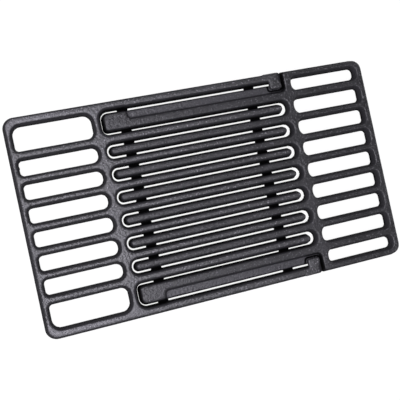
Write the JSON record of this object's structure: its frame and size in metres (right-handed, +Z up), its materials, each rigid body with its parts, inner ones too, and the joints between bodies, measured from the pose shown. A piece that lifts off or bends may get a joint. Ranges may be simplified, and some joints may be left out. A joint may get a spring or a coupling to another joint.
{
  "type": "adjustable cooking grate",
  "caption": "Cast iron cooking grate in two comb halves that mesh and slide apart to suit the length of a grill, with slotted end frames and hooked side rails.",
  "frame": {"origin": "on the ground below the middle of the closed grate", "axes": "+X along the bars and the slide, from the outer half to the inner half, +Y across the bars, +Z up"},
  "size_m": [0.361, 0.2032, 0.013],
  "materials": {
    "cast_iron": "matte, sand cast"
  },
  "bodies": {
    "outer_half": {"outer_half": "cast_iron"},
    "inner_half": {"inner_half": "cast_iron"}
  },
  "joints": [
    {"name": "length_slide", "type": "slide", "parent": "outer_half", "child": "inner_half", "axis": [1, 0, 0], "range_m": [0, 0.144]}
  ]
}
